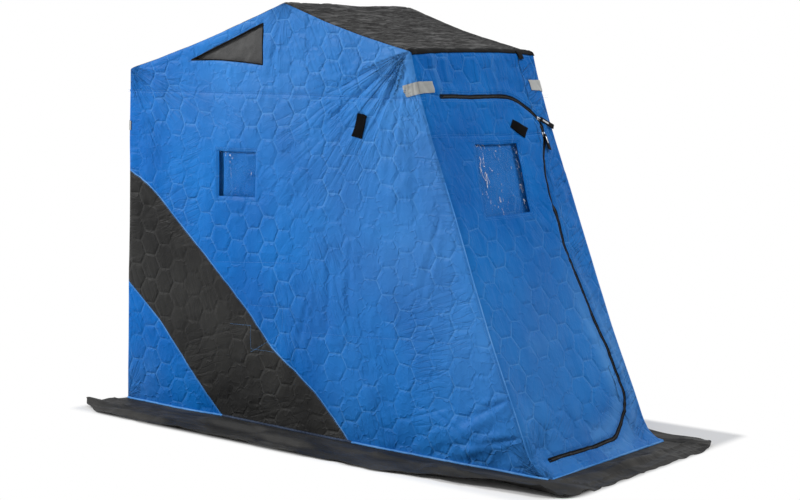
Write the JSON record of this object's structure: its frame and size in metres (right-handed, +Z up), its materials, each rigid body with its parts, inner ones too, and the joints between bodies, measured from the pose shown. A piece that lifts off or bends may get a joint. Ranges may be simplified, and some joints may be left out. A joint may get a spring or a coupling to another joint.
{
  "type": "ice fishing hut",
  "caption": "One-person ice fishing hut: quilted cloth over fanned tube bows, roof vents, film windows with blinds, ground skirt and a hinged zip door.",
  "frame": {"origin": "centre of the footprint, skirt included, on the ground", "axes": "+X out of the door, +Y to the right of someone facing the door, +Z up"},
  "size_m": [2.425, 1.37, 1.65],
  "materials": {
    "blue_cloth": "quilted thermal cloth, woven face",
    "charcoal_cloth": "quilted thermal cloth, woven face",
    "roof_cloth": "heather charcoal thermal cloth",
    "skirt_cloth": "coated woven cloth",
    "blind_cloth": "quilted cloth",
    "black_mesh": "woven mesh",
    "black_patch": "hook and loop",
    "black_webbing": "woven binding",
    "zip_tape": "woven tape",
    "zip_metal": "satin black",
    "reflective_tape": "reflective woven tape",
    "clear_film": "clear flexible film",
    "frame_tube": "black powder coat",
    "hub_plate": "moulded nylon"
  },
  "bodies": {
    "hut": {"left_top_panel": "blue_cloth", "left_middle_panel": "blue_cloth", "left_sash_panel": "charcoal_cloth", "left_heel_panel": "blue_cloth", "left_vent_mesh": "black_mesh", "left_window_film": "clear_film", "left_window_blind": "blind_cloth", "left_hook_patch": "black_patch", "right_top_panel": "blue_cloth", "right_middle_panel": "blue_cloth", "right_sash_panel": "charcoal_cloth", "right_heel_panel": "blue_cloth", "right_vent_mesh": "black_mesh", "right_window_film": "clear_film", "right_window_blind": "blind_cloth", "right_hook_patch": "black_patch", "rear_lower_panel": "blue_cloth", "rear_top_panel": "blue_cloth", "roof_rear_panel": "roof_cloth", "roof_front_panel": "roof_cloth", "roof_front_binding": "black_webbing", "front_header_panel": "blue_cloth", "front_hinge_strip": "blue_cloth", "front_zip_strip": "blue_cloth", "front_sill_panel": "blue_cloth", "wall_zip_tape": "zip_tape", "zip_sliders": "zip_metal", "front_reflectors": "reflective_tape", "rear_reflectors": "reflective_tape", "left_skirt": "skirt_cloth", "front_skirt": "skirt_cloth", "right_skirt": "skirt_cloth", "rear_floor_bow": "frame_tube", "rear_bow": "frame_tube", "ridge_bow": "frame_tube", "front_bow": "frame_tube", "front_floor_bow": "frame_tube", "left_hub": "hub_plate", "right_hub": "hub_plate"},
    "door": {"door_top_panel": "blue_cloth", "door_main_panel": "blue_cloth", "door_zip_tape": "zip_tape", "door_window_film": "clear_film", "door_window_blind": "blind_cloth", "door_hook_patch": "black_patch"}
  },
  "joints": [
    {"name": "door_hinge", "type": "hinge", "parent": "hut", "child": "door", "pos_m": [0.9305, -0.285, 0], "axis": [0.3532, 0, -0.9355], "range_deg": [0, 150]}
  ]
}
